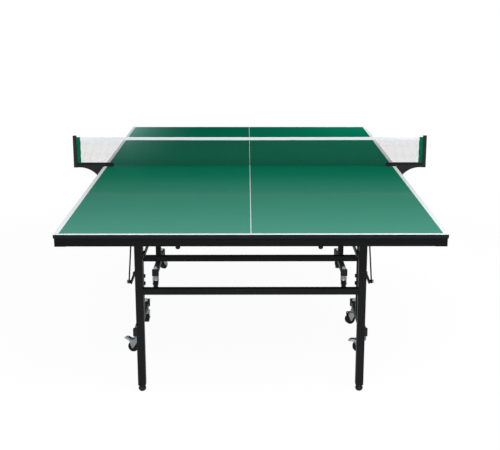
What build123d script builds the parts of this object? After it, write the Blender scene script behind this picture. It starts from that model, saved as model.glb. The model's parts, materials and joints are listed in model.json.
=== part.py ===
from build123d import *
import os

# Ping pong table in two halves. Each half has a board that folds up on its own wheeled trolley,
# and a net set is clamped to the inner edge of the far half.
# Millimetres. The origin is on the floor below the middle of the net: X across, Y along, Z up.
# Each half is drawn once, on the near side (Y below zero), and turned half a turn for the far side.

os.makedirs("parts", exist_ok=True)

# Playing surface
table_length = 2740.0
table_width = 1525.0
surface_height = 760.0
board_thickness = 18.0
board_corner_radius = 6.0
board_edge_radius = 4.0
halves_gap = 5.0

# Apron rails under the board, and the caps on its outer corners
apron_height = 31.5
apron_thickness = 20.0
apron_inset = 7.5
cap_length = 46.0
cap_thickness = 3.0

# Square steel tube of the trolley, the wider tube of the legs and the thinner tube of the crossbars
tube_size = 30.0
leg_tube_size = 33.0
tube_wall = 1.5
tube_corner = 3.0
crossbar_size = 27.5

# Legs
leg_x = 464.0
leg_y = 1111.0
leg_bottom = 29.0
leg_crossbar_height = 447.5
leg_plug_height = 22.0

# Levelling feet
foot_sole_radius = 10.0
foot_radius = 16.5
foot_widest_height = 11.0
foot_shoulder_height = 24.0
foot_neck_radius = 12.0
foot_stud_radius = 5.0
foot_stud_top = 75.0

# Trolley
upright_x = 530.0
upright_y = 470.0
trolley_crossbar_height = 402.0
beam_bottom = 88.5
beam_reach = 223.0
beam_cap_length = 18.0
beam_cap_size = 37.0

# Folding pivots, measured from the tube that carries each one and from the playing surface
pivot_offset = 30.0
pivot_drop = 40.0
post_top_drop = 30.0
pin_radius = 5.0
lug_width = 12.0
lug_radius = 12.0
ear_thickness = 4.0
ear_gap = 2.0
bracket_plate = 4.0
bracket_half_length = 22.0
pin_overhang = 1.5

# Leg links, which keep the legs upright while the board folds
link_offset = 35.0
link_drop = 160.0
link_thickness = 4.0
link_width = 24.0
link_inner_x = 440.0
link_lug_thickness = 3.0
link_nut_radius = 7.5
link_nut_thickness = 4.0
stud_radius = 5.0
collar_radius = 8.0
nut_radius = 9.0
nut_thickness = 6.0

# Lock arms and rods on the outside of the uprights
arm_height = 325.0
arm_length = 130.0
arm_inner_x = 558.0
arm_thickness = 4.0
arm_width = 24.0
rod_radius = 3.5
rod_low_x = 571.0
rod_high_x = 545.0
eye_width = 8.0
eye_radius = 9.0
arm_pin_radius = 4.0
bolt_cap_radius = 9.0
bolt_cap_thickness = 7.0
bolt_cap_heights = (312.5, 275.5)

# Swivel casters
caster_reach = 193.0
caster_trail = 22.0
wheel_radius = 25.0
wheel_width = 24.0
wheel_edge_radius = 4.0
wheel_recess_outer = 17.0
wheel_recess_inner = 8.0
wheel_recess_depth = 2.5
axle_radius = 3.0
axle_head_radius = 5.0
axle_head_thickness = 1.5
fork_inner_width = 27.0
fork_plate = 2.5
fork_top = 61.0
fork_front = -15.0
fork_back = 20.0
fork_side_front = -8.0
fork_end_radius = 6.0
race_radius = 17.0
race_top = 72.0
crown_radius = 14.0
crown_top = 82.0
neck_radius = 9.0
stem_radius = 5.0
stem_head_radius = 9.0
stem_head_bottom = 52.0
stem_nut_thickness = 8.0
stem_overhang = 6.0

# Brake pedals on the casters nearest the table's ends
# The outlines run along the caster and up, from the pedal's pin
pedal_pin_setback = 8.0
pedal_pin_height = 54.5
pedal_pin_radius = 2.0
pedal_pin_margin = 6.5
pedal_hub_radius = 4.2
pedal_top = ((-2.0, 2.5), (8.0, 11.0), (17.0, 15.0), (26.0, 15.5), (35.0, 12.0))
pedal_skirt = ((34.0, 9.0), (22.0, 5.0), (11.0, -1.5), (6.0, -4.5))
pedal_skirt_thickness = 2.0
pedal_pocket_shift = (1.5, -2.5)
shoe_length = 2.5
shoe_drop = 5.0
shoe_width = 20.0

# Net set
net_overall_width = 1830.0
net_height = 152.5
net_bottom_gap = 8.0
net_thickness = 1.2
tape_height = 15.0
tape_thickness = 2.4
sleeve_width = 29.5
sleeve_thickness = 5.0
post_width = 17.5
post_top_height = 920.0
post_slot_width = 7.0
post_slot_depth = 10.0
post_heel_drop = 6.0
clamp_width = 16.0
clamp_setback = 1.5
clamp_arm_thickness = 17.8
clamp_overlap = 53.0
clamp_spine = 29.0
clamp_web_bottom = 709.0
clamp_web_sag = 15.0
jaw_bottom = 676.0
jaw_thickness = 12.0
jaw_reach = 26.0
screw_radius = 4.0
screw_inset = 17.0
screw_pad_radius = 7.0
screw_pad_thickness = 4.0
knob_radius = 11.0
knob_height = 14.0
knob_bottom = 640.0

# Clearances
running_fit = 0.06
seat_gap = 0.2
side_gap = 1.0
shank_gap = 0.3

# Places that follow from the dimensions
net_line = -halves_gap / 2
end_line = -table_length / 2
half_length = net_line - end_line
half_middle = (net_line + end_line) / 2
board_bottom = surface_height - board_thickness
apron_bottom = board_bottom - apron_height
apron_side = table_width / 2 - apron_inset
apron_end = end_line + apron_inset
apron_net = net_line - apron_inset
pivot_height = surface_height - pivot_drop
post_top = surface_height - post_top_drop
link_height = surface_height - link_drop
beam_top = beam_bottom + tube_size
top_pivot_y = -upright_y + pivot_offset
leg_pivot_y = -leg_y + pivot_offset
rod_pivot_y = top_pivot_y - arm_length
arm_end_y = -upright_y - arm_length
tube_half = tube_size / 2
leg_half = leg_tube_size / 2
sides = (-1, 1)


def save(part, name):
    """Write one sub-part to its own file."""
    part.label = name
    export_step(part, f"parts/{name}.step")


def save_halves(part, name):
    """Write a sub-part of the near half, and the same piece turned half a turn for the far half."""
    save(part, f"near_{name}")
    save(part.rotate(Axis.Z, 180), f"far_{name}")


def block(x_from, x_to, y_from, y_to, z_from, z_to, mode=Mode.ADD):
    """Box between two values on each axis."""
    middle = ((x_from + x_to) / 2, (y_from + y_to) / 2, (z_from + z_to) / 2)
    with Locations(middle):
        Box(abs(x_to - x_from), abs(y_to - y_from), abs(z_to - z_from), mode=mode)


def bar_along_x(radius, x_from, x_to, y, z, mode=Mode.ADD):
    """Round bar along X between two X values."""
    with Locations(((x_from + x_to) / 2, y, z)):
        Cylinder(radius, abs(x_to - x_from), rotation=(0, 90, 0), mode=mode)


def hex_along_x(radius, x_from, x_to, y, z):
    """Hexagonal nut with its hole along X, between two X values."""
    low = min(x_from, x_to)
    with BuildSketch(Plane((low, y, z), x_dir=(0, 1, 0), z_dir=(1, 0, 0))) as outline:
        RegularPolygon(radius, 6)
    extrude(outline.sketch, amount=abs(x_to - x_from))


def square_tube(plane, length, size=tube_size):
    """Square steel tube with rounded corners, starting on a plane and running along its normal."""
    hollow = size - 2 * tube_wall
    with BuildSketch(plane) as outline:
        RectangleRounded(size, size, tube_corner)
        RectangleRounded(hollow, hollow, tube_corner - tube_wall, mode=Mode.SUBTRACT)
    extrude(outline.sketch, amount=length)


def hinged_post(x, y, bottom, size=tube_size):
    """Upright tube with a hinge lug on its net side at the top."""
    square_tube(Plane((x, y, bottom)), post_top - bottom, size)
    pivot_y = y + pivot_offset
    lug_from = x - lug_width / 2
    lug_to = x + lug_width / 2
    block(lug_from, lug_to, y + size / 2, pivot_y, pivot_height - lug_radius, post_top)
    bar_along_x(lug_radius, lug_from, lug_to, pivot_y, pivot_height)
    bar_along_x(pin_radius + running_fit, lug_from, lug_to, pivot_y, pivot_height, Mode.SUBTRACT)


def link_lug(side, face_x, post_y):
    """Plate welded to the inner face of a post, reaching to the link's pivot."""
    pivot_y = post_y + link_offset
    inner_x = face_x - link_lug_thickness
    half_width = link_width / 2
    block(side * inner_x, side * face_x, post_y - half_width, pivot_y,
          link_height - half_width, link_height + half_width)
    bar_along_x(half_width, side * inner_x, side * face_x, pivot_y, link_height)
    return inner_x


def link_stud(side, face_x, pivot_y):
    """Stud from a link lug inwards, with a collar up to the link and a nut beyond it."""
    link_outer_x = link_inner_x + link_thickness
    nut_x = link_inner_x - seat_gap
    bar_along_x(collar_radius, side * face_x, side * (link_outer_x + seat_gap), pivot_y, link_height)
    nut_end = nut_x - link_nut_thickness
    bar_along_x(stud_radius, side * face_x, side * nut_end, pivot_y, link_height)
    hex_along_x(link_nut_radius, side * nut_x, side * nut_end, pivot_y, link_height)


def flat_bar(x_from, x_to, y_from, y_to, z, width):
    """Flat bar along Y with round ends about its two pivots."""
    block(x_from, x_to, y_from, y_to, z - width / 2, z + width / 2)
    for pivot_y in (y_from, y_to):
        bar_along_x(width / 2, x_from, x_to, pivot_y, z)


def clevis(x, pivot_y):
    """Bracket under the board: a plate and two ears around a pivot pin."""
    ear_inner = lug_width / 2 + ear_gap
    ear_outer = ear_inner + ear_thickness
    plate_bottom = board_bottom - bracket_plate
    block(x - ear_outer, x + ear_outer, pivot_y - bracket_half_length, pivot_y + bracket_half_length,
          plate_bottom, board_bottom)
    for side in sides:
        ear_from = x + side * ear_inner
        ear_to = x + side * ear_outer
        block(ear_from, ear_to, pivot_y - lug_radius, pivot_y + lug_radius, pivot_height, plate_bottom)
        bar_along_x(lug_radius, ear_from, ear_to, pivot_y, pivot_height)
        bar_along_x(pin_radius + running_fit, ear_from, ear_to, pivot_y, pivot_height, Mode.SUBTRACT)


# Board
with BuildPart() as board:
    with BuildSketch(Plane.XY.offset(board_bottom)) as board_outline:
        with Locations((0, half_middle)):
            Rectangle(table_width, half_length)
        fillet(board_outline.vertices().sort_by(Axis.Y)[:2], board_corner_radius)
    extrude(amount=board_thickness)
    level_edges = board.faces().filter_by(Axis.Z).edges()
    fillet(level_edges.filter_by(lambda edge: edge.center().Y < net_line - board_edge_radius), board_edge_radius)
save_halves(board.part, "board")

# Apron: two side rails, with an end rail and a net rail between them
with BuildPart() as apron:
    rail_inner = apron_side - apron_thickness
    for side in sides:
        block(side * rail_inner, side * apron_side, apron_end, apron_net, apron_bottom, board_bottom)
    for rail_y, inward in ((apron_end, 1), (apron_net, -1)):
        block(seat_gap - rail_inner, rail_inner - seat_gap, rail_y, rail_y + inward * apron_thickness,
              apron_bottom, board_bottom)
save_halves(apron.part, "apron")

# Corner caps around the apron at the table's end
with BuildPart() as corner_caps:
    for side in sides:
        face_x = apron_side + seat_gap
        face_y = apron_end - seat_gap
        outer_x = face_x + cap_thickness
        outer_y = face_y - cap_thickness
        block(side * face_x, side * outer_x, outer_y, outer_y + cap_length, apron_bottom, board_bottom)
        block(side * (outer_x - cap_length), side * outer_x, outer_y, face_y, apron_bottom, board_bottom)
save_halves(corner_caps.part, "corner_caps")

# Hinge brackets under the board: for the trolley, the legs and the lock rods
bracket_places = ((upright_x, top_pivot_y), (leg_x, leg_pivot_y), (rod_high_x, rod_pivot_y))
with BuildPart() as hinge_brackets:
    for side in sides:
        for bracket_x, bracket_y in bracket_places:
            clevis(side * bracket_x, bracket_y)
save_halves(hinge_brackets.part, "hinge_brackets")

# Hinge pins through the brackets
with BuildPart() as hinge_pins:
    pin_half_length = lug_width / 2 + ear_gap + ear_thickness + pin_overhang
    for side in sides:
        for bracket_x, bracket_y in bracket_places:
            pin_x = side * bracket_x
            bar_along_x(pin_radius, pin_x - pin_half_length, pin_x + pin_half_length, bracket_y, pivot_height)
save_halves(hinge_pins.part, "hinge_pins")

# Leg tubes, each with a hinge lug, a plug for its foot and a stud for its link
with BuildPart() as leg_tubes:
    for side in sides:
        hinged_post(side * leg_x, -leg_y, leg_bottom, leg_tube_size)
        plug_half = leg_half - tube_wall
        block(side * leg_x - plug_half, side * leg_x + plug_half, -leg_y - plug_half, -leg_y + plug_half,
              leg_bottom, leg_bottom + leg_plug_height)
        with Locations((side * leg_x, -leg_y, leg_bottom + leg_plug_height / 2)):
            Cylinder(foot_stud_radius + running_fit, leg_plug_height, mode=Mode.SUBTRACT)
        lug_face = link_lug(side, leg_x - leg_half, -leg_y)
        link_stud(side, lug_face, -leg_y + link_offset)
save_halves(leg_tubes.part, "leg_tubes")

# Crossbar between the legs
with BuildPart() as leg_crossbar:
    crossbar_half = leg_x - leg_half
    square_tube(Plane((-crossbar_half, -leg_y, leg_crossbar_height), x_dir=(0, 1, 0), z_dir=(1, 0, 0)),
                2 * crossbar_half, crossbar_size)
save_halves(leg_crossbar.part, "leg_crossbar")

# Levelling feet, screwed into the legs
for side, side_name in zip(sides, ("left", "right")):
    foot_x = side * leg_x
    neck_top = leg_bottom - seat_gap
    with BuildPart() as foot:
        with BuildSketch(Plane((foot_x, -leg_y, 0), x_dir=(1, 0, 0), z_dir=(0, -1, 0))) as foot_profile:
            with BuildLine():
                Polyline((0, 0), (foot_sole_radius, 0), (foot_radius, foot_widest_height),
                         (foot_neck_radius, foot_shoulder_height), (foot_neck_radius, neck_top),
                         (foot_stud_radius, neck_top), (foot_stud_radius, foot_stud_top),
                         (0, foot_stud_top), close=True)
            make_face()
        revolve(axis=Axis((foot_x, -leg_y, 0), (0, 0, 1)))
    save_halves(foot.part, f"{side_name}_foot")

# Leg links, from the trolley to the legs
with BuildPart() as leg_links:
    for side in sides:
        link_from = side * link_inner_x
        link_to = side * (link_inner_x + link_thickness)
        link_ends = (-upright_y + link_offset, -leg_y + link_offset)
        flat_bar(link_from, link_to, link_ends[0], link_ends[1], link_height, link_width)
        for link_end in link_ends:
            bar_along_x(stud_radius + running_fit, link_from, link_to, link_end, link_height, Mode.SUBTRACT)
save_halves(leg_links.part, "leg_links")

# Lock arms, each with a pin for its rod
arm_outer_x = arm_inner_x + arm_thickness
eye_inner_x = rod_low_x - eye_width / 2
eye_outer_x = rod_low_x + eye_width / 2
with BuildPart() as lock_arms:
    for side in sides:
        flat_bar(side * arm_inner_x, side * arm_outer_x, -upright_y, arm_end_y, arm_height, arm_width)
        bar_along_x(stud_radius + running_fit, side * arm_inner_x, side * arm_outer_x, -upright_y,
                    arm_height, Mode.SUBTRACT)
        bar_along_x(collar_radius, side * arm_outer_x, side * (eye_inner_x - seat_gap), arm_end_y, arm_height)
        nut_x = eye_outer_x + seat_gap
        bar_along_x(arm_pin_radius, side * arm_outer_x, side * (nut_x + nut_thickness), arm_end_y, arm_height)
        hex_along_x(nut_radius, side * nut_x, side * (nut_x + nut_thickness), arm_end_y, arm_height)
save_halves(lock_arms.part, "lock_arms")

# Lock rods, from the arms up to the board
with BuildPart() as lock_rods:
    for side in sides:
        low_end = Vector(side * rod_low_x, arm_end_y, arm_height)
        high_end = Vector(side * rod_high_x, rod_pivot_y, pivot_height)
        with BuildSketch(Plane(low_end, z_dir=high_end - low_end)):
            Circle(rod_radius)
        extrude(amount=(high_end - low_end).length)
        for eye, hole_radius in ((low_end, arm_pin_radius), (high_end, pin_radius)):
            eye_from = eye.X - eye_width / 2
            eye_to = eye.X + eye_width / 2
            bar_along_x(eye_radius, eye_from, eye_to, eye.Y, eye.Z)
            bar_along_x(hole_radius + running_fit, eye_from, eye_to, eye.Y, eye.Z, Mode.SUBTRACT)
save_halves(lock_rods.part, "lock_rods")

# Trolley uprights, each with a hinge lug and a lug for the leg link
with BuildPart() as trolley_uprights:
    for side in sides:
        hinged_post(side * upright_x, -upright_y, beam_top)
        upright_lug_face = link_lug(side, upright_x - tube_half, -upright_y)
save_halves(trolley_uprights.part, "trolley_uprights")

# Crossbar between the uprights
with BuildPart() as trolley_crossbar:
    crossbar_half = upright_x - tube_half
    square_tube(Plane((-crossbar_half, -upright_y, trolley_crossbar_height), x_dir=(0, 1, 0), z_dir=(1, 0, 0)),
                2 * crossbar_half, crossbar_size)
save_halves(trolley_crossbar.part, "trolley_crossbar")

# Base beams along the floor, with a hole for each caster's stem
caster_ys = (-upright_y - caster_reach, -upright_y + caster_reach)
beam_middle_height = beam_bottom + tube_half
beam_tube_reach = beam_reach - tube_wall
with BuildPart() as base_beams:
    for side in sides:
        beam_start = (side * upright_x, -upright_y - beam_tube_reach, beam_middle_height)
        square_tube(Plane(beam_start, x_dir=(1, 0, 0), z_dir=(0, 1, 0)), 2 * beam_tube_reach)
        for caster_y in caster_ys:
            with Locations((side * upright_x, caster_y, beam_middle_height)):
                Cylinder(stem_radius + running_fit, tube_size, mode=Mode.SUBTRACT)
save_halves(base_beams.part, "base_beams")

# Plastic caps over the ends of the beams
with BuildPart() as beam_caps:
    cap_half = beam_cap_size / 2
    pocket_half = tube_half + seat_gap
    for side in sides:
        for outward in sides:
            cap_x = side * upright_x
            cap_outer = -upright_y + outward * beam_reach
            cap_inner = cap_outer - outward * beam_cap_length
            pocket_end = cap_outer - outward * (tube_wall - seat_gap)
            block(cap_x - cap_half, cap_x + cap_half, cap_inner, cap_outer,
                  beam_middle_height - cap_half, beam_middle_height + cap_half)
            block(cap_x - pocket_half, cap_x + pocket_half, cap_inner, pocket_end,
                  beam_middle_height - pocket_half, beam_middle_height + pocket_half, Mode.SUBTRACT)
save_halves(beam_caps.part, "beam_caps")

# Trolley bolts: caster stems with nuts, link studs, arm studs and the capped bolts of the lock
fork_top_plate_bottom = fork_top - fork_plate
stem_head_top = fork_top_plate_bottom - seat_gap
with BuildPart() as trolley_bolts:
    for side in sides:
        for caster_y in caster_ys:
            with BuildSketch(Plane((side * upright_x, caster_y, stem_head_bottom))):
                Circle(stem_head_radius)
            extrude(amount=stem_head_top - stem_head_bottom)
            with BuildSketch(Plane((side * upright_x, caster_y, stem_head_bottom))):
                Circle(stem_radius)
            extrude(amount=beam_top + stem_nut_thickness + stem_overhang - stem_head_bottom)
            with BuildSketch(Plane((side * upright_x, caster_y, beam_top))):
                RegularPolygon(stem_head_radius, 6)
            extrude(amount=stem_nut_thickness)
        link_stud(side, upright_lug_face, -upright_y + link_offset)
        upright_face = upright_x + tube_half
        nut_x = arm_outer_x + seat_gap
        bar_along_x(collar_radius, side * upright_face, side * (arm_inner_x - seat_gap), -upright_y, arm_height)
        bar_along_x(stud_radius, side * upright_face, side * (nut_x + nut_thickness), -upright_y, arm_height)
        hex_along_x(nut_radius, side * nut_x, side * (nut_x + nut_thickness), -upright_y, arm_height)
        inner_face = upright_x - tube_half
        for bolt_height in bolt_cap_heights:
            bar_along_x(bolt_cap_radius, side * inner_face, side * (inner_face - bolt_cap_thickness),
                        -upright_y, bolt_height)
save_halves(trolley_bolts.part, "trolley_bolts")

# One caster, drawn with its swivel axis on the origin and its wheel trailing towards +X
fork_outer = fork_inner_width / 2 + fork_plate
pedal_pin_x = caster_trail + pedal_pin_setback
fork_side_back = pedal_pin_x + pedal_pin_margin
head_steps = ((fork_top, race_top, race_radius), (race_top, crown_top, crown_radius),
              (crown_top, beam_bottom - shank_gap, neck_radius))
with BuildPart() as caster_fork:
    block(fork_front, fork_back, -fork_outer, fork_outer, fork_top_plate_bottom, fork_top)
    for step_bottom, step_top, step_radius in head_steps:
        with Locations((0, 0, (step_bottom + step_top) / 2)):
            Cylinder(step_radius, step_top - step_bottom)
    with Locations((0, 0, (stem_head_bottom + beam_bottom) / 2)):
        Cylinder(stem_radius + running_fit, beam_bottom - stem_head_bottom, mode=Mode.SUBTRACT)
    for side in sides:
        plate_from = side * fork_inner_width / 2
        with BuildSketch(Plane((0, plate_from, 0), x_dir=(1, 0, 0), z_dir=(0, -1, 0))) as side_plate:
            with BuildLine():
                Polyline((fork_side_front, fork_top), (fork_side_back, fork_top),
                         (fork_side_back, pedal_pin_height - pedal_pin_margin),
                         (caster_trail + fork_end_radius, wheel_radius),
                         (caster_trail - fork_end_radius, wheel_radius), close=True)
            make_face()
            with Locations((caster_trail, wheel_radius)):
                Circle(fork_end_radius)
        extrude(amount=-side * fork_plate)
    axle_half = fork_outer + axle_head_thickness
    for hole_x, hole_z, hole_radius in ((caster_trail, wheel_radius, axle_radius),
                                        (pedal_pin_x, pedal_pin_height, pedal_pin_radius)):
        with Locations((hole_x, 0, hole_z)):
            Cylinder(hole_radius + running_fit, 2 * fork_outer, rotation=(90, 0, 0), mode=Mode.SUBTRACT)
    with Locations((caster_trail, 0, wheel_radius)):
        Cylinder(axle_radius, 2 * axle_half, rotation=(90, 0, 0))
    for side in sides:
        with Locations((caster_trail, side * (fork_outer + axle_head_thickness / 2), wheel_radius)):
            Cylinder(axle_head_radius, axle_head_thickness, rotation=(90, 0, 0))

with BuildPart() as caster_wheel:
    with Locations((caster_trail, 0, wheel_radius)):
        Cylinder(wheel_radius, wheel_width, rotation=(90, 0, 0))
    rim_edges = caster_wheel.edges().filter_by(GeomType.CIRCLE)
    fillet(rim_edges, wheel_edge_radius)
    for side in sides:
        with BuildSketch(Plane((caster_trail, side * wheel_width / 2, wheel_radius), z_dir=(0, side, 0))):
            Circle(wheel_recess_outer)
            Circle(wheel_recess_inner, mode=Mode.SUBTRACT)
        extrude(amount=-wheel_recess_depth, mode=Mode.SUBTRACT)
    with Locations((caster_trail, 0, wheel_radius)):
        Cylinder(axle_radius + running_fit, wheel_width, rotation=(90, 0, 0), mode=Mode.SUBTRACT)

# One brake pedal, drawn with its pin on the origin: an arched channel with a shoe above the tread
pedal_width = fork_inner_width - 2 * side_gap
pedal_outline = pedal_top + pedal_skirt
pocket_width = pedal_width - 2 * pedal_skirt_thickness
pocket_outline = [(along + pedal_pocket_shift[0], up + pedal_pocket_shift[1]) for along, up in pedal_outline]
with BuildPart() as brake_pedal:
    with BuildSketch(Plane.XZ.offset(-pedal_width / 2)):
        with BuildLine():
            Polyline(*pedal_outline, close=True)
        make_face()
    extrude(amount=pedal_width)
    with BuildSketch(Plane.XZ.offset(-pocket_width / 2)):
        with BuildLine():
            Polyline(*pocket_outline, close=True)
        make_face()
    extrude(amount=pocket_width, mode=Mode.SUBTRACT)
    Cylinder(pedal_hub_radius, pedal_width, rotation=(90, 0, 0))
    block(0, shoe_length, -shoe_width / 2, shoe_width / 2, -shoe_drop, 0)
    Cylinder(pedal_pin_radius, 2 * fork_outer, rotation=(90, 0, 0))

# Casters in place: how far each one is turned at rest, from trailing towards +X
# The near right pedal rests part of the way down
caster_turns = {
    "near_left_outer": 165, "near_right_outer": 174, "near_left_inner": 88, "near_right_inner": 202,
    "far_left_outer": 80, "far_right_outer": 60, "far_left_inner": 78, "far_right_inner": 102,
}
pedal_presses = {"near_left": 0, "near_right": 22, "far_left": 0, "far_right": 0}
for half_name, half_sign in (("near", -1), ("far", 1)):
    for side_name, left_or_right in (("left", 1), ("right", -1)):
        for end_name, reach in (("outer", caster_reach), ("inner", -caster_reach)):
            caster_name = f"{half_name}_{side_name}_{end_name}"
            caster_x = half_sign * left_or_right * upright_x
            caster_y = half_sign * (upright_y + reach)
            place = Location((caster_x, caster_y, 0), (0, 0, caster_turns[caster_name]))
            save(caster_fork.part.moved(place), f"{caster_name}_fork")
            save(caster_wheel.part.moved(place), f"{caster_name}_wheel")
            if end_name == "outer":
                pedal_name = f"{half_name}_{side_name}"
                pedal_place = Location((pedal_pin_x, 0, pedal_pin_height), (0, pedal_presses[pedal_name], 0))
                save(brake_pedal.part.moved(place * pedal_place), f"{pedal_name}_brake_pedal")

# Net clamps, each with a post that has a slot for the net's sleeve, and an arm cut back behind the net
post_outer = net_overall_width / 2
post_inner = post_outer - post_width
clamp_from = -net_line + clamp_setback
net_y = clamp_from + clamp_width / 2
net_top = surface_height + net_height
net_bottom = surface_height + net_bottom_gap
arm_bottom = surface_height + seat_gap
arm_top = arm_bottom + clamp_arm_thickness
heel_bottom = arm_bottom - post_heel_drop
board_side = table_width / 2
spine_inner = board_side + side_gap
spine_outer = board_side + clamp_spine
arm_tip = board_side - clamp_overlap
jaw_tip = board_side - jaw_reach
jaw_top = jaw_bottom + jaw_thickness
screw_x = board_side - screw_inset
with BuildPart() as net_clamps:
    for side in sides:
        with BuildSketch(Plane.XZ.offset(-clamp_from)) as clamp_profile:
            with BuildLine():
                Polyline((side * spine_outer, clamp_web_bottom), (side * spine_outer, jaw_bottom),
                         (side * jaw_tip, jaw_bottom), (side * jaw_tip, jaw_top), (side * spine_inner, jaw_top),
                         (side * spine_inner, arm_bottom), (side * arm_tip, arm_bottom),
                         (side * arm_tip, arm_top), (side * post_inner, arm_top),
                         (side * post_inner, post_top_height), (side * post_outer, post_top_height),
                         (side * post_outer, heel_bottom), (side * post_inner, heel_bottom))
                SagittaArc((side * post_inner, heel_bottom), (side * spine_outer, clamp_web_bottom),
                           -side * clamp_web_sag)
            make_face()
        extrude(amount=-clamp_width)
        block(side * post_inner, side * (post_inner + post_slot_depth), net_y - post_slot_width / 2,
              net_y + post_slot_width / 2, arm_top, post_top_height, Mode.SUBTRACT)
        block(side * arm_tip, side * post_inner, clamp_from, net_y + side_gap + net_thickness / 2,
              net_bottom - side_gap, arm_top, Mode.SUBTRACT)
        with Locations((side * screw_x, net_y, jaw_bottom + jaw_thickness / 2)):
            Cylinder(screw_radius + running_fit, jaw_thickness, mode=Mode.SUBTRACT)
save(net_clamps.part, "net_clamps")

# Clamp screws, pressing a pad up under the apron
for side, side_name in zip(sides, ("left", "right")):
    pad_top = apron_bottom - seat_gap
    with BuildPart() as clamp_screw:
        for bottom, top, radius in ((knob_bottom, knob_bottom + knob_height, knob_radius),
                                    (knob_bottom, pad_top, screw_radius),
                                    (pad_top - screw_pad_thickness, pad_top, screw_pad_radius)):
            with BuildSketch(Plane((side * screw_x, net_y, bottom))):
                Circle(radius)
            extrude(amount=top - bottom)
    save(clamp_screw.part, f"{side_name}_clamp_screw")

# Net: sleeves in the posts' slots, and the mesh and its top tape between them
sleeve_outer = post_inner + post_slot_depth - side_gap
sleeve_inner = sleeve_outer - sleeve_width
mesh_reach = sleeve_inner - seat_gap
with BuildPart() as net_sleeves:
    sleeve_bottom = arm_top + seat_gap
    for side in sides:
        block(side * sleeve_inner, side * sleeve_outer, net_y - sleeve_thickness / 2,
              net_y + sleeve_thickness / 2, sleeve_bottom, net_top)
save(net_sleeves.part, "net_sleeves")

with BuildPart() as net_mesh:
    block(-mesh_reach, mesh_reach, net_y - net_thickness / 2, net_y + net_thickness / 2,
          net_bottom, net_top - tape_height - seat_gap)
save(net_mesh.part, "net_mesh")

with BuildPart() as net_tape:
    block(-mesh_reach, mesh_reach, net_y - tape_thickness / 2, net_y + tape_thickness / 2,
          net_top - tape_height, net_top)
save(net_tape.part, "net_tape")
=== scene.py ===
import json
import math
import random
import bmesh
import bpy
from mathutils import Matrix, Vector


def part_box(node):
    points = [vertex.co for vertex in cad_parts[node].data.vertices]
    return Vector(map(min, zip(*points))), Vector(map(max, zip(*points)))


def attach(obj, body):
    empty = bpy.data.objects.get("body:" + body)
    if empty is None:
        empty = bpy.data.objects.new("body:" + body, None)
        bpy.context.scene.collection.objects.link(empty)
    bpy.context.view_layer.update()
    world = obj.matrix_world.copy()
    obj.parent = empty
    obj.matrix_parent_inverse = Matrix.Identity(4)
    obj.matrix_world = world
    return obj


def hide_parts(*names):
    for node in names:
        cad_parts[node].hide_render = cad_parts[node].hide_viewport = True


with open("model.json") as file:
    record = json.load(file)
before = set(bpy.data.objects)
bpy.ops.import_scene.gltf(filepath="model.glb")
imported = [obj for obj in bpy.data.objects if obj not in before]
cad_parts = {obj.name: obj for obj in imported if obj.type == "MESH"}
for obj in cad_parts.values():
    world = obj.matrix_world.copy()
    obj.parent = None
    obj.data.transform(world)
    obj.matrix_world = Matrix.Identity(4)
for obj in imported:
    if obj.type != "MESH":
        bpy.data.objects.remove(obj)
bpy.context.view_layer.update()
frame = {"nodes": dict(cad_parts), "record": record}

# Sizes of the table, in metres
half_width = 1.525 / 2
half_length = 2.74 / 2
side_line = 0.020
end_line = 0.0155
centre_line = 0.0026
surface_height = 0.76

# Where nuts and the black caps of bolts lie, used to tell zinc from paint
link_nut_reach = 0.4402
arm_nut_reach = 0.5751
bolt_cap_low = 0.262
bolt_cap_high = 0.326
bolt_cap_reach = 0.5155

# Edges of the solids are softened by this much, where they turn by more than the bevel angle in degrees
tube_bevel = 0.0006
board_bevel = 0.0015
plastic_bevel = 0.0015
bevel_segments = 2
bevel_angle = 40

# New pieces are shaded smooth up to this angle, in degrees
crease_angle = 45

# The dark edge of the board starts this share of its bevel below the top
edge_paint_share = 0.7

# Colours, each from a darker to a lighter shade
board_green = (0.0009, 0.162, 0.084), (0.0016, 0.182, 0.096)
line_white = (0.75, 0.76, 0.77), (0.80, 0.81, 0.82)
# The board's dark edge and underside colour is made a little lighter and bluer, as painted light for the
# rounded top edge catching light
board_edge_and_painted_light = (0.0082, 0.0105, 0.0128), (0.0116, 0.0142, 0.0168)
steel_black = (0.0080, 0.0082, 0.0086), (0.0104, 0.0106, 0.0110)
# The apron's black is the frame's black powder coat made darker, as painted shade on the apron's front
shaded_apron_black = (0.0038, 0.0039, 0.0044), (0.0052, 0.0053, 0.0058)
plastic_black = (0.0105, 0.0105, 0.0120), (0.0140, 0.0140, 0.0158)
foot_black = (0.0020, 0.0022, 0.0025), (0.0036, 0.0040, 0.0046)
rubber_black = (0.0050, 0.0050, 0.0054), (0.0100, 0.0098, 0.0095)
plate_zinc = (0.40, 0.45, 0.47), (0.56, 0.59, 0.60)
fastener_zinc = (0.36, 0.41, 0.43), (0.52, 0.55, 0.56)
# The forks' zinc is darker than the other zinc, as painted shade for the forks under the table
shaded_fork_zinc = (0.17, 0.195, 0.205), (0.27, 0.29, 0.30)
thread_grey = (0.015, 0.017, 0.019), (0.035, 0.037, 0.040)
tape_white = (0.67, 0.69, 0.735), (0.785, 0.805, 0.85)
sleeve_green = (0.0006, 0.105, 0.045), (0.0014, 0.165, 0.072)
floor_white = (0.92, 0.92, 0.92), (0.94, 0.94, 0.94)
card_black = (0.004, 0.004, 0.004), (0.007, 0.007, 0.007)

nodes = frame["nodes"]
record = frame["record"]
joints = {joint["name"]: joint for joint in record["behaviour"]["joints"]}
halves = ("near", "far")
sides = ("left", "right")


# Helpers for node materials

# Places of the colour sockets on a mix node, whose names repeat for its other kinds
mix_first = 6
mix_second = 7
mix_result = 2


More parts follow.
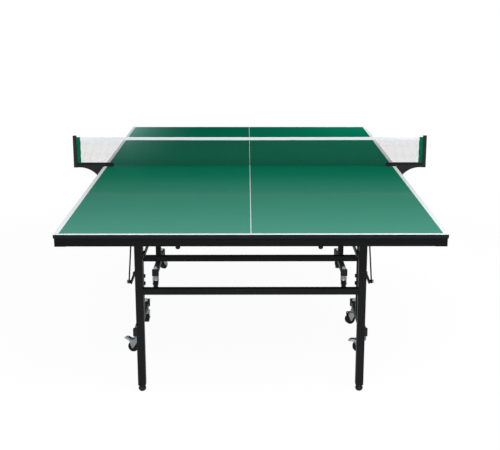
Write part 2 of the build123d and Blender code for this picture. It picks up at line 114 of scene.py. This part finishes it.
class Painter:
    """A material with its own nodes, and short ways to add and join them."""

    def __init__(self, name):
        self.material = bpy.data.materials.new(name)
        self.material.use_nodes = True
        self.tree = self.material.node_tree
        self.shader = self.tree.nodes["Principled BSDF"]

    def add(self, kind, **settings):
        node = self.tree.nodes.new(kind)
        for key, value in settings.items():
            setattr(node, key, value)
        return node

    def link(self, source, target):
        self.tree.links.new(source, target)

    def set(self, **values):
        for key, value in values.items():
            self.shader.inputs[key.replace("_", " ")].default_value = value

    def place(self, scale=(1.0, 1.0, 1.0)):
        """Position on the piece, in metres times a scale."""
        where = self.add("ShaderNodeTexCoord")
        mapping = self.add("ShaderNodeMapping")
        mapping.inputs["Scale"].default_value = scale
        self.link(where.outputs["Object"], mapping.inputs["Vector"])
        return mapping.outputs["Vector"]

    def axes(self):
        """The coordinates X, Y and Z of the position on the piece."""
        where = self.add("ShaderNodeTexCoord")
        split = self.add("ShaderNodeSeparateXYZ")
        self.link(where.outputs["Object"], split.inputs["Vector"])
        return split.outputs

    def noise(self, scale, detail, stretch=(1.0, 1.0, 1.0), roughness=0.55):
        node = self.add("ShaderNodeTexNoise")
        node.inputs["Scale"].default_value = scale
        node.inputs["Detail"].default_value = detail
        node.inputs["Roughness"].default_value = roughness
        self.link(self.place(stretch), node.inputs["Vector"])
        return node.outputs["Fac"]

    def wave(self, scale, direction):
        node = self.add("ShaderNodeTexWave", wave_type="BANDS", bands_direction=direction, wave_profile="SIN")
        node.inputs["Scale"].default_value = scale
        self.link(self.place(), node.inputs["Vector"])
        return node.outputs["Fac"]

    def math(self, operation, first, second=None):
        node = self.add("ShaderNodeMath", operation=operation)
        for socket, value in zip(node.inputs, (first, second)):
            if value is None:
                continue
            if isinstance(value, (int, float)):
                socket.default_value = value
            else:
                self.link(value, socket)
        return node.outputs["Value"]

    def span(self, value, low, high, to_low, to_high):
        """Value between low and high, stretched to run between two other values."""
        node = self.add("ShaderNodeMapRange")
        for name, number in (("From Min", low), ("From Max", high), ("To Min", to_low), ("To Max", to_high)):
            node.inputs[name].default_value = number
        self.link(value, node.inputs["Value"])
        return node.outputs["Result"]

    def blend(self, factor, first, second):
        """Colour that goes from the first to the second as the factor goes from 0 to 1."""
        node = self.add("ShaderNodeMix", data_type="RGBA")
        self.link(factor, node.inputs["Factor"])
        for socket, value in ((node.inputs[mix_first], first), (node.inputs[mix_second], second)):
            if isinstance(value, tuple):
                socket.default_value = (*value, 1.0)
            else:
                self.link(value, socket)
        return node.outputs[mix_result]

    def bump(self, height, distance, strength):
        node = self.add("ShaderNodeBump")
        node.inputs["Distance"].default_value = distance
        node.inputs["Strength"].default_value = strength
        self.link(height, node.inputs["Height"])
        self.link(node.outputs["Normal"], self.shader.inputs["Normal"])

    def colour(self, socket):
        self.link(socket, self.shader.inputs["Base Color"])

    def rough(self, noise, smoothest, roughest, low=0.2, high=0.8):
        """Roughness that follows a noise, between the noise's low and high values."""
        self.link(self.span(noise, low, high, smoothest, roughest), self.shader.inputs["Roughness"])


# Materials

def board_paint():
    """Satin green board with white lines, and with dark edges and a dark underside whose black is a little
    lightened as painted light.
    """
    paint = Painter("board_paint")
    place = paint.axes()
    mottle = paint.noise(scale=9.0, detail=4.0)
    grain = paint.noise(scale=900.0, detail=2.0)
    from_middle_x = paint.math("ABSOLUTE", place["X"])
    from_middle_y = paint.math("ABSOLUTE", place["Y"])
    on_side = paint.math("GREATER_THAN", from_middle_x, half_width - side_line)
    on_end = paint.math("GREATER_THAN", from_middle_y, half_length - end_line)
    on_middle = paint.math("LESS_THAN", from_middle_x, centre_line / 2)
    on_line = paint.math("MAXIMUM", paint.math("MAXIMUM", on_side, on_end), on_middle)
    green = paint.blend(mottle, *board_green)
    white = paint.blend(mottle, *line_white)
    top = paint.blend(on_line, green, white)
    # The dark edge is the board's own black, lightened a little by painted light
    edge = paint.blend(grain, *board_edge_and_painted_light)
    below_top = paint.math("LESS_THAN", place["Z"], surface_height - board_bevel * edge_paint_share)
    paint.colour(paint.blend(below_top, top, edge))
    paint.rough(mottle, smoothest=0.058, roughest=0.072, low=0.0, high=1.0)
    paint.set(Specular_IOR_Level=0.006)
    paint.bump(grain, distance=0.00005, strength=0.1)
    return paint.material


def powder_coat(name, shades):
    """Satin black powder coat with a fine orange peel."""
    coat = Painter(name)
    peel = coat.noise(scale=1400.0, detail=2.0)
    cloud = coat.noise(scale=14.0, detail=3.0)
    coat.colour(coat.blend(cloud, *shades))
    coat.rough(cloud, smoothest=0.44, roughest=0.56)
    coat.set(Specular_IOR_Level=0.04)
    coat.bump(peel, distance=0.0002, strength=0.15)
    return coat.material


def zinc_plate(name, shades, smoothest, roughest):
    """Zinc plate with a faint cool and warm cast."""
    zinc = Painter(name)
    cast = zinc.noise(scale=55.0, detail=3.0)
    brushed = zinc.noise(scale=420.0, detail=2.0, stretch=(1.0, 1.0, 0.12))
    zinc.colour(zinc.blend(cast, *shades))
    zinc.rough(brushed, smoothest, roughest)
    zinc.set(Metallic=1.0)
    zinc.bump(brushed, distance=0.0002, strength=0.2)
    return zinc.material


def plated(name, coat_first, mask_of):
    """Painted piece that is zinc plated where the mask is 1, or a plated one that is painted there."""
    coat = Painter(name)
    place = coat.axes()
    mask = mask_of(coat, coat.math("ABSOLUTE", place["X"]), place["Z"])
    cloud = coat.noise(scale=14.0, detail=3.0)
    peel = coat.noise(scale=1400.0, detail=2.0)
    black = coat.blend(cloud, *steel_black)
    zinc = coat.blend(cloud, *fastener_zinc)
    first, second = (black, zinc) if coat_first else (zinc, black)
    coat.colour(coat.blend(mask, first, second))
    coat.link(mask if coat_first else coat.math("SUBTRACT", 1.0, mask), coat.shader.inputs["Metallic"])
    coat.rough(cloud, smoothest=0.40, roughest=0.52)
    coat.set(Specular_IOR_Level=0.04)
    coat.bump(peel, distance=0.0002, strength=0.15)
    return coat.material


# Masks for plated pieces, from the reach out from the table's middle and the height

def leg_mask(coat, reach, height):
    """The links' nuts, on the inner sides of the legs."""
    return coat.math("LESS_THAN", reach, link_nut_reach)


def arm_mask(coat, reach, height):
    """The nuts on the outer sides of the lock arms."""
    return coat.math("GREATER_THAN", reach, arm_nut_reach)


def bolt_mask(coat, reach, height):
    """The black caps of the lock's bolts, on the inner sides of the uprights."""
    high = coat.math("GREATER_THAN", height, bolt_cap_low)
    low = coat.math("LESS_THAN", height, bolt_cap_high)
    inner = coat.math("LESS_THAN", reach, bolt_cap_reach)
    return coat.math("MULTIPLY", coat.math("MULTIPLY", high, low), inner)


def moulded_plastic(name, shades, gloss):
    """Black moulded plastic with a fine spark grain."""
    plastic = Painter(name)
    spark = plastic.noise(scale=1100.0, detail=3.0)
    cloud = plastic.noise(scale=20.0, detail=3.0)
    plastic.colour(plastic.blend(cloud, *shades))
    plastic.rough(cloud, smoothest=0.48, roughest=0.62)
    plastic.set(Specular_IOR_Level=gloss)
    plastic.bump(spark, distance=0.0004, strength=0.4)
    return plastic.material


def glossy_plastic():
    """Black polished plastic of the levelling feet."""
    plastic = Painter("glossy_plastic")
    cloud = plastic.noise(scale=60.0, detail=3.0)
    plastic.colour(plastic.blend(cloud, *foot_black))
    plastic.rough(cloud, smoothest=0.12, roughest=0.20)
    plastic.set(Specular_IOR_Level=0.14)
    return plastic.material


def wheel_rubber():
    """Black rubber tread with dust, on a hub of the same black."""
    rubber = Painter("wheel_rubber")
    dust = rubber.noise(scale=90.0, detail=4.0)
    grain = rubber.noise(scale=700.0, detail=2.0)
    rubber.colour(rubber.blend(dust, *rubber_black))
    rubber.rough(dust, smoothest=0.60, roughest=0.80)
    rubber.set(Specular_IOR_Level=0.15)
    rubber.bump(grain, distance=0.0004, strength=0.4)
    return rubber.material


def woven(name, shades, fineness, depth):
    """Plain woven cloth of two crossed waves of thread, a little soiled."""
    dark, light = shades
    cloth = Painter(name)
    warp = cloth.wave(fineness, "X")
    weft = cloth.wave(fineness, "Z")
    weave = cloth.math("MULTIPLY", warp, weft)
    soil = cloth.noise(scale=30.0, detail=3.0)
    soiled = cloth.span(soil, low=0.3, high=0.9, to_low=0.0, to_high=0.35)
    thread = cloth.blend(weave, dark, light)
    cloth.colour(cloth.blend(soiled, thread, dark))
    cloth.rough(soil, smoothest=0.78, roughest=0.92)
    cloth.set(Specular_IOR_Level=0.03)
    cloth.bump(weave, depth, strength=0.5)
    return cloth.material


def net_thread():
    """Dark twisted thread."""
    thread = Painter("net_thread")
    fuzz = thread.noise(scale=600.0, detail=2.0)
    thread.colour(thread.blend(fuzz, *thread_grey))
    thread.rough(fuzz, smoothest=0.75, roughest=0.92)
    thread.set(Specular_IOR_Level=0.1)
    thread.bump(fuzz, distance=0.0003, strength=0.5)
    return thread.material


# One material for each slot, and those of the pieces that differ from their slot
materials = {
    "table_board": board_paint(),
    "black_steel": powder_coat("powder_coat", steel_black),
    "black_plastic": moulded_plastic("moulded_plastic", plastic_black, gloss=0.15),
    "zinc_steel": zinc_plate("zinc_plate", plate_zinc, smoothest=0.36, roughest=0.50),
    "wheel_rubber": wheel_rubber(),
    "net_mesh": net_thread(),
    "net_tape": woven("tape_cloth", tape_white, fineness=900.0, depth=0.0003),
    "net_sleeve": woven("sleeve_cloth", sleeve_green, fineness=700.0, depth=0.0004),
}
own_materials = {
    # The apron gets a darker copy of the black powder coat: painted shade
    "apron": powder_coat("shaded_apron_coat", shaded_apron_black),
    # The corner caps take the apron's darker black, the same painted shade
    "corner_caps": moulded_plastic("shaded_cap_plastic", shaded_apron_black, gloss=0.04),
    "leg_tubes": plated("painted_leg", coat_first=True, mask_of=leg_mask),
    "lock_arms": plated("painted_arm", coat_first=True, mask_of=arm_mask),
    "trolley_bolts": plated("trolley_fasteners", coat_first=False, mask_of=bolt_mask),
}
# The caster forks get a darker copy of the zinc plate: painted shade
shaded_fork_material = zinc_plate("shaded_fork_zinc", shaded_fork_zinc, smoothest=0.24, roughest=0.40)
for side in sides:
    for end in ("outer", "inner"):
        own_materials[f"{side}_{end}_fork"] = shaded_fork_material


# Materials and soft edges on the solids

def dress(name, material, bevel):
    solid = nodes[name]
    solid.data.materials.clear()
    solid.data.materials.append(material)
    edge = solid.modifiers.new("soft_edges", "BEVEL")
    edge.width = bevel
    edge.segments = bevel_segments
    edge.limit_method = "ANGLE"
    edge.angle_limit = math.radians(bevel_angle)
    edge.harden_normals = True


bevels = {"table_board": board_bevel, "black_plastic": plastic_bevel}
for piece in record["subparts"]:
    name = piece["node"]
    slot = piece["material_slot"]
    # The name without its first word, which is near or far for the pieces of a half
    kind = name.split("_", 1)[1]
    dress(name, own_materials.get(kind, materials[slot]), bevels.get(slot, tube_bevel))


# New pieces

def add_piece(name, mesh_data, body, slot, replaced, material=None):
    """Puts a finished bmesh into the scene as a piece that rides on a body and stands for a solid."""
    mesh = bpy.data.meshes.new(name)
    mesh_data.to_mesh(mesh)
    mesh_data.free()
    piece = bpy.data.objects.new(name, mesh)
    bpy.context.scene.collection.objects.link(piece)
    mesh.materials.append(material or materials[slot])
    for face in mesh.polygons:
        face.use_smooth = True
    mesh.set_sharp_from_angle(angle=math.radians(crease_angle))
    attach(piece, body)
    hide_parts(*replaced)
    return piece


def join_rings(mesh_data, rings):
    """Skin over rings of equally many points, closed at both ends."""
    count = len(rings[0])
    for first, second in zip(rings, rings[1:]):
        for step in range(count):
            after = (step + 1) % count
            mesh_data.faces.new((first[step], first[after], second[after], second[step]))
    mesh_data.faces.new(tuple(reversed(rings[0])))
    mesh_data.faces.new(tuple(rings[-1]))


def add_tube(mesh_data, points, radius, count=4):
    """Closed tube of a few sides through a list of points."""
    rings = []
    last = len(points) - 1
    for index, point in enumerate(points):
        ahead = points[min(index + 1, last)] - points[max(index - 1, 0)]
        turn = ahead.to_track_quat("Z", "Y")
        ring = []
        for step in range(count):
            angle = 2 * math.pi * (step + 0.5) / count
            offset = Vector((math.cos(angle) * radius, math.sin(angle) * radius, 0))
            ring.append(mesh_data.verts.new(point + turn @ offset))
        rings.append(ring)
    join_rings(mesh_data, rings)


# Levelling feet: a fluted plastic knob on a threaded stud

stud_radius = 0.0050
stud_bottom = 0.0288
stud_top = 0.075
thread_pitch = 0.0015
thread_depth = 0.0004
thread_root_share = 0.25
thread_crest_share = 0.75
knob_profile = (
    (0.0, 0.0), (0.0085, 0.0), (0.0100, 0.0006), (0.0128, 0.0030), (0.0152, 0.0068), (0.0165, 0.0110),
    (0.0161, 0.0150), (0.0148, 0.0190), (0.0132, 0.0222), (0.0121, 0.0245), (0.0120, 0.0284),
    (0.0114, stud_bottom), (stud_radius, stud_bottom),
)
knob_segments = 96
knob_flutes = 12
flute_depth = 0.0009
flute_bottom = 0.005
flute_top = 0.021
foot_material = glossy_plastic()


def foot_profile():
    """Radius and height of the knob's rings, then of the thread's roots and crests."""
    profile = list(knob_profile)
    turns = int((stud_top - stud_bottom) / thread_pitch)
    for turn in range(turns):
        z = stud_bottom + turn * thread_pitch
        profile.append((stud_radius - thread_depth, z + thread_root_share * thread_pitch))
        profile.append((stud_radius, z + thread_crest_share * thread_pitch))
    profile.append((0.0, stud_bottom + turns * thread_pitch))
    return profile


def add_foot(name):
    """The profile turned around the foot's axis, with notches for the flutes."""
    low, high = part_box(name)
    middle = Vector(((low[0] + high[0]) / 2, (low[1] + high[1]) / 2, 0))
    mesh_data = bmesh.new()
    rings = []
    for radius, z in foot_profile():
        if radius == 0.0:
            rings.append([mesh_data.verts.new(middle + Vector((0, 0, z)))])
            continue
        fluted = flute_bottom < z < flute_top
        ring = []
        for step in range(knob_segments):
            angle = 2 * math.pi * step / knob_segments
            notch = flute_depth * max(0.0, math.cos(knob_flutes * angle)) if fluted else 0.0
            reach = radius - notch
            offset = Vector((math.cos(angle) * reach, math.sin(angle) * reach, z))
            ring.append(mesh_data.verts.new(middle + offset))
        rings.append(ring)
    for first, second in zip(rings, rings[1:]):
        for step in range(knob_segments):
            after = (step + 1) % knob_segments
            if len(first) == 1:
                mesh_data.faces.new((first[0], second[after], second[step]))
            elif len(second) == 1:
                mesh_data.faces.new((first[step], first[after], second[0]))
            else:
                mesh_data.faces.new((first[step], first[after], second[after], second[step]))
    add_piece(f"{name}_knob", mesh_data, name, "black_plastic", [name], foot_material)


for half in halves:
    for side in sides:
        add_foot(f"{half}_{side}_foot")


# Brake pedals: a pressed steel channel on a cross pin
# The outlines run along the caster and up, from the pin
# The section goes from one skirt over the top to the other, in shares of the half width and of the depth

pedal_top = ((-0.0020, 0.0025), (0.0080, 0.0110), (0.0170, 0.0150), (0.0260, 0.0155), (0.0350, 0.0120))
pedal_skirt = ((-0.0020, 0.0025), (0.0060, -0.0045), (0.0110, -0.0015), (0.0220, 0.0050), (0.0350, 0.0092))
pedal_section = (
    (-1.0, 1.0), (-1.0, 0.55), (-1.0, 0.16), (-0.95, 0.05), (-0.84, 0.0), (-0.45, -0.03), (0.0, -0.04),
    (0.45, -0.03), (0.84, 0.0), (0.95, 0.05), (1.0, 0.16), (1.0, 0.55), (1.0, 1.0),
)
pedal_half_width = 0.0125
pedal_tip_length = 0.010
pedal_tip_taper = 0.6
pedal_least_depth = 0.0015
pedal_sheet = 0.0016
pedal_steps = 30
pedal_rounding = 0.002
pedal_hub_radius = 0.0042
pedal_hub_sides = 24
pedal_pin_radius = 0.002
pedal_pin_reach = 0.016
pedal_pin_sides = 16
shoe_length = 0.0025
shoe_drop = 0.0050


def line_height(line, x):
    """Height of an outline of straight pieces at x."""
    for (from_x, from_z), (to_x, to_z) in zip(line, line[1:]):
        if x <= to_x:
            return from_z + (to_z - from_z) * (max(x, from_x) - from_x) / (to_x - from_x)
    return line[-1][1]


def rounded_height(line, x):
    """Height of an outline at x with its corners rounded off."""
    shifts = (-1.0, -0.5, 0.0, 0.5, 1.0)
    return sum(line_height(line, x + shift * pedal_rounding) for shift in shifts) / len(shifts)


def add_pedal(name):
    """Channel along the caster, pressed as it rests, with its hub, pin and brake shoe."""
    joint = joints[f"{name}_press"]
    press = math.radians(-joint["range_deg"][0])
    across = Vector(joint["axis"])
    turn = Matrix.Rotation(press, 3, across)
    along = turn @ Vector((across.y, -across.x, 0))
    up = turn @ Vector((0, 0, 1))
    pivot = Vector(joint["pos_m"])
    mesh_data = bmesh.new()
    start, end = pedal_top[0][0], pedal_top[-1][0]
    rows = []
    for step in range(pedal_steps + 1):
        x = start + (end - start) * step / pedal_steps
        to_tip = max(0.0, 1.0 - (end - x) / pedal_tip_length)
        reach = pedal_half_width * math.sqrt(1.0 - pedal_tip_taper * to_tip ** 2)
        top = rounded_height(pedal_top, x)
        depth = max(pedal_least_depth, top - rounded_height(pedal_skirt, x))
        row = []
        for share, drop in pedal_section:
            place = pivot + along * x + across * (share * reach) + up * (top - drop * depth)
            row.append(mesh_data.verts.new(place))
        rows.append(row)
    for first, second in zip(rows, rows[1:]):
        for column in range(len(pedal_section) - 1):
            mesh_data.faces.new((first[column], first[column + 1], second[column + 1], second[column]))
    bmesh.ops.solidify(mesh_data, geom=list(mesh_data.faces), thickness=pedal_sheet)
    hub_reach = across * (pedal_half_width - pedal_sheet)
    pin_reach = across * pedal_pin_reach
    add_tube(mesh_data, [pivot - hub_reach, pivot + hub_reach], pedal_hub_radius, pedal_hub_sides)
    add_tube(mesh_data, [pivot - pin_reach, pivot + pin_reach], pedal_pin_radius, pedal_pin_sides)
    shoe_top = pivot + along * (shoe_length / 2)
    add_tube(mesh_data, [shoe_top, shoe_top - up * shoe_drop], shoe_length / 2, pedal_pin_sides)
    bmesh.ops.recalc_face_normals(mesh_data, faces=list(mesh_data.faces))
    add_piece(f"{name}_wing", mesh_data, name, "zinc_steel", [name])


for half in halves:
    for side in sides:
        add_pedal(f"{half}_{side}_brake_pedal")


# Net: knotted thread, a folded tape along its top and a sewn sleeve at each end

net_cell = 0.0060
thread_radius = 0.00048
cord_radius = 0.0010
thread_wander = 0.0001
sideways_wander = 0.4
wander_seed = 7
net_low, net_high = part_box("net_mesh")
net_y = (net_low[1] + net_high[1]) / 2
random.seed(wander_seed)


def add_net():
    """Rows and columns of thread through knots that wander a little, over a thicker cord along the bottom."""
    mesh_data = bmesh.new()
    width = net_high[0] - net_low[0]
    height = net_high[2] - net_low[2]
    columns = round(width / net_cell)
    rows = round(height / net_cell)
    knots = []
    for row in range(rows + 1):
        line = []
        for column in range(columns + 1):
            x = net_low[0] + width * column / columns
            z = net_low[2] + height * row / rows
            # Knots along the sleeves and the tape stay in place
            free = 1.0 if 0 < column < columns and row < rows else 0.0
            wander = Vector((
                random.uniform(-1, 1), sideways_wander * random.uniform(-1, 1), random.uniform(-1, 1),
            ))
            line.append(Vector((x, net_y, z)) + wander * thread_wander * free)
        knots.append(line)
    add_tube(mesh_data, knots[0], cord_radius)
    for line in knots[1:]:
        add_tube(mesh_data, line, thread_radius)
    for column in range(columns + 1):
        add_tube(mesh_data, [line[column] for line in knots], thread_radius)
    net = add_piece("net_threads", mesh_data, "net_set", "net_mesh", ["net_mesh"])


# Tape: its section is given in shares of the half thickness, and its ripples by depth, pace and start
tape_half_thickness = 0.0011
tape_steps = 240
tape_bulge = 1.15
tape_bulge_height = 0.004
tape_shoulder_drop = 0.003
tape_fold_share = 0.7
tape_fold_drop = 0.0008
tape_ripples = ((0.0004, 31.0, 0.0), (0.0003, 83.0, 1.0))
tape_droop = 0.0010


def add_tape():
    """Tape folded over the top of the net, with ripples along it and a slight droop."""
    low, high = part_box("net_tape")
    mesh_data = bmesh.new()
    face = (
        (1.0, low[2]), (tape_bulge, low[2] + tape_bulge_height), (1.0, high[2] - tape_shoulder_drop),
        (tape_fold_share, high[2] - tape_fold_drop),
    )
    fold = [(-share * tape_half_thickness, z) for share, z in face]
    fold.append((0.0, high[2]))
    fold += [(share * tape_half_thickness, z) for share, z in reversed(face)]
    rings = []
    for step in range(tape_steps + 1):
        x = low[0] + (high[0] - low[0]) * step / tape_steps
        ripple = sum(depth * math.sin(x * pace + start) for depth, pace, start in tape_ripples)
        droop = tape_droop * math.cos(math.pi * x / (high[0] - low[0])) ** 2
        rings.append([mesh_data.verts.new(Vector((x, net_y + y + ripple, z - droop))) for y, z in fold])
    join_rings(mesh_data, rings)
    bmesh.ops.recalc_face_normals(mesh_data, faces=list(mesh_data.faces))
    tape = add_piece("net_tape_band", mesh_data, "net_set", "net_tape", ["net_tape"])


# Sleeves: a flat rounded section whose edges wave and whose faces crease
sleeve_width = 0.0295
sleeve_half_thickness = 0.0023
sleeve_steps = 40
sleeve_sides = 24
sleeve_edge_power = 0.55
sleeve_face_power = 0.75
wave_depth = 0.0005
wave_pace = 19.0
crease_depth = 0.0004
crease_pace = 26.0
crease_slant = 3.0
crease_room = 0.0005


def signed_power(value, power):
    """Power of a value's size, with the value's own sign."""
    return math.copysign(abs(value) ** power, value)


def add_sleeves():
    """A sleeve at each end of the net, which reaches in from the post."""
    low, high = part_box("net_sleeves")
    for side, name in ((-1, "left"), (1, "right")):
        mesh_data = bmesh.new()
        rings = []
        for step in range(sleeve_steps + 1):
            share = step / sleeve_steps
            z = low[2] + (high[2] - low[2]) * share
            width = sleeve_width - wave_depth + wave_depth * math.sin(share * wave_pace)
            middle = high[0] - width / 2
            ring = []
            for index in range(sleeve_sides):
                angle = 2 * math.pi * index / sleeve_sides
                u = signed_power(math.cos(angle), sleeve_edge_power)
                v = signed_power(math.sin(angle), sleeve_face_power)
                crease = crease_depth * math.sin(share * crease_pace + crease_slant * u)
                x = side * (middle + u * width / 2)
                y = net_y + v * (sleeve_half_thickness - crease_room) + crease * (1 - u * u)
                ring.append(mesh_data.verts.new(Vector((x, y, z))))
            rings.append(ring)
        join_rings(mesh_data, rings)
        bmesh.ops.recalc_face_normals(mesh_data, faces=list(mesh_data.faces))
        sleeve = add_piece(f"net_sleeve_{name}", mesh_data, "net_set", "net_sleeve", ["net_sleeves"])


add_sleeves()
add_tape()
add_net()


# Stage: floor, card, world, lamps and camera

def add_flat(name, corners):
    """One flat face through four corners."""
    mesh = bpy.data.meshes.new(name)
    mesh.from_pydata(corners, [], [(0, 1, 2, 3)])
    flat = bpy.data.objects.new(name, mesh)
    bpy.context.scene.collection.objects.link(flat)
    return flat


# The floor glows white to the camera. A share of it near the table is left to show the table's shadow.
floor_reach = 30.0
floor_glow = 1.015
shadow_share = 0.06
shadow_near = 2.2
shadow_far = 3.6


def floor_paint():
    """White floor that glows to camera, glossy and transmission rays."""
    paint = Painter("floor_white")
    paint.set(Roughness=0.9, Specular_IOR_Level=0.0)
    speck = paint.noise(scale=3.0, detail=2.0)
    paint.colour(paint.blend(speck, *floor_white))
    glow = paint.add("ShaderNodeEmission")
    glow.inputs["Strength"].default_value = floor_glow
    rays = paint.add("ShaderNodeLightPath")
    seen = paint.math("MAXIMUM", rays.outputs["Is Camera Ray"], rays.outputs["Is Glossy Ray"])
    seen = paint.math("MAXIMUM", seen, rays.outputs["Is Transmission Ray"])
    place = paint.axes()
    square_x = paint.math("MULTIPLY", place["X"], place["X"])
    square_y = paint.math("MULTIPLY", place["Y"], place["Y"])
    from_middle = paint.math("SQRT", paint.math("ADD", square_x, square_y))
    glow_share = paint.span(from_middle, shadow_near, shadow_far, 1.0 - shadow_share, 1.0)
    mix = paint.add("ShaderNodeMixShader")
    paint.link(paint.math("MULTIPLY", seen, glow_share), mix.inputs["Fac"])
    paint.link(paint.shader.outputs["BSDF"], mix.inputs[1])
    paint.link(glow.outputs["Emission"], mix.inputs[2])
    paint.link(mix.outputs["Shader"], paint.tree.nodes["Material Output"].inputs["Surface"])
    return paint.material


floor = add_flat("floor", [
    (-floor_reach, -floor_reach, 0), (floor_reach, -floor_reach, 0),
    (floor_reach, floor_reach, 0), (-floor_reach, floor_reach, 0),
])
floor.data.materials.append(floor_paint())

# A graded card far behind the table is seen only in gloss. It keeps the board's sheen to the near end,
# and a second glow low on its left puts a faint sheen on the far left corner.
card_y = 8.0
card_half_width = 14.0
card_height = 3.9
card_colour = (0.60, 0.97, 1.0, 1.0)
card_dark_below = 2.455
card_shoulder = 2.60
card_bright_above = 3.25
shoulder_glow = 0.92
top_glow = 2.5
top_rise = 1.7
left_glow = 1.90
left_glow_start = -0.4
left_glow_end = -1.6
left_rise = 3.2
left_glow_full = 1.77
left_glow_none = 2.8
left_fade = 3.6


def card_paint():
    """Black card that glows more and more towards its top, and low on its left."""
    paint = Painter("card_grade")
    weft = paint.noise(scale=40.0, detail=2.0)
    paint.colour(paint.blend(weft, *card_black))
    paint.set(Roughness=0.9, Specular_IOR_Level=0.0, Emission_Color=card_colour)
    place = paint.axes()
    low_grade = paint.span(place["Z"], card_dark_below, card_shoulder, 0.0, shoulder_glow)
    to_top = paint.span(place["Z"], card_shoulder, card_bright_above, 0.0, 1.0)
    high_grade = paint.math("POWER", to_top, top_rise)
    main_glow = paint.math("ADD", low_grade, paint.math("MULTIPLY", high_grade, top_glow))
    to_left = paint.span(place["X"], left_glow_start, left_glow_end, 0.0, 1.0)
    to_floor = paint.span(place["Z"], left_glow_full, left_glow_none, 1.0, 0.0)
    left_grade = paint.math("POWER", to_left, left_rise)
    floor_grade = paint.math("POWER", to_floor, left_fade)
    corner_glow = paint.math("MULTIPLY", paint.math("MULTIPLY", left_grade, floor_grade), left_glow)
    paint.link(paint.math("ADD", main_glow, corner_glow), paint.shader.inputs["Emission Strength"])
    return paint.material


card = add_flat("graded_card", [
    (-card_half_width, card_y, 0), (card_half_width, card_y, 0),
    (card_half_width, card_y, card_height), (-card_half_width, card_y, card_height),
])
card.visible_camera = False
card.visible_diffuse = False
card.visible_transmission = False
card.visible_shadow = False
card.data.materials.append(card_paint())

# The world is white to camera, glossy and transmission rays, and a dimmer white as a light
ambient = 0.45
world = bpy.data.worlds.new("studio")
bpy.context.scene.world = world
world.use_nodes = True
sky = world.node_tree
sky_light = sky.nodes["Background"]
sky_light.inputs["Color"].default_value = (1.0, 1.0, 1.0, 1.0)
sky_rays = sky.nodes.new("ShaderNodeLightPath")
sky_seen = sky.nodes.new("ShaderNodeMath")
sky_seen.operation = "MAXIMUM"
sky_seen_all = sky.nodes.new("ShaderNodeMath")
sky_seen_all.operation = "MAXIMUM"
sky_strength = sky.nodes.new("ShaderNodeMapRange")
sky_strength.inputs["To Min"].default_value = ambient
sky_strength.inputs["To Max"].default_value = 1.0
sky.links.new(sky_rays.outputs["Is Camera Ray"], sky_seen.inputs[0])
sky.links.new(sky_rays.outputs["Is Glossy Ray"], sky_seen.inputs[1])
sky.links.new(sky_seen.outputs["Value"], sky_seen_all.inputs[0])
sky.links.new(sky_rays.outputs["Is Transmission Ray"], sky_seen_all.inputs[1])
sky.links.new(sky_seen_all.outputs["Value"], sky_strength.inputs["Value"])
sky.links.new(sky_strength.outputs["Result"], sky_light.inputs["Strength"])


def add_softbox(name, place, target, width, height, power, spread=180.0, mirrored=True):
    """Lamp that points at a target, with its power in watts and its spread in degrees."""
    lamp = bpy.data.lights.new(name, "AREA")
    lamp.shape = "RECTANGLE"
    lamp.size = width
    lamp.size_y = height
    lamp.energy = power
    lamp.spread = math.radians(spread)
    box = bpy.data.objects.new(name, lamp)
    box.location = place
    box.rotation_euler = (Vector(target) - Vector(place)).to_track_quat("-Z", "Y").to_euler()
    box.visible_glossy = mirrored
    bpy.context.scene.collection.objects.link(box)


# The key lights the board, and the back softbox its far right corner. Neither shows in the board's gloss.
# The fill softens the shadows, and the low softbox lights the faces towards the camera.
add_softbox("key_softbox", place=(0.6, -3.2, 3.2), target=(0.0, -0.8, 0.76),
            width=3.2, height=2.4, power=102.0, mirrored=False)
add_softbox("fill_softbox", place=(2.6, -2.6, 2.4), target=(0.0, 0.0, 0.4),
            width=2.0, height=2.0, power=12.0)
add_softbox("low_softbox", place=(0.0, -8.5, 0.42), target=(0.0, -0.6, 0.38),
            width=9.0, height=0.8, power=240.0)
add_softbox("back_softbox", place=(1.3, 2.1, 1.9), target=(0.8, 1.45, 0.76),
            width=0.6, height=0.6, power=2.6, spread=60.0, mirrored=False)

# Camera fitted to the photograph, with millimetres for sensor and lens, and degrees for tilt and turn
camera_sensor = 36.0
camera_lens = 70.2
camera_place = (-0.0162, -4.986, 1.7265)
camera_tilt = 75.596
camera_turn = -0.194
camera_data = bpy.data.cameras.new("photo_camera")
camera_data.sensor_width = camera_sensor
camera_data.lens = camera_lens
camera = bpy.data.objects.new("photo_camera", camera_data)
camera.location = camera_place
camera.rotation_euler = (math.radians(camera_tilt), 0.0, math.radians(camera_turn))
bpy.context.scene.collection.objects.link(camera)
bpy.context.scene.camera = camera
bpy.context.scene.view_settings.view_transform = "Standard"
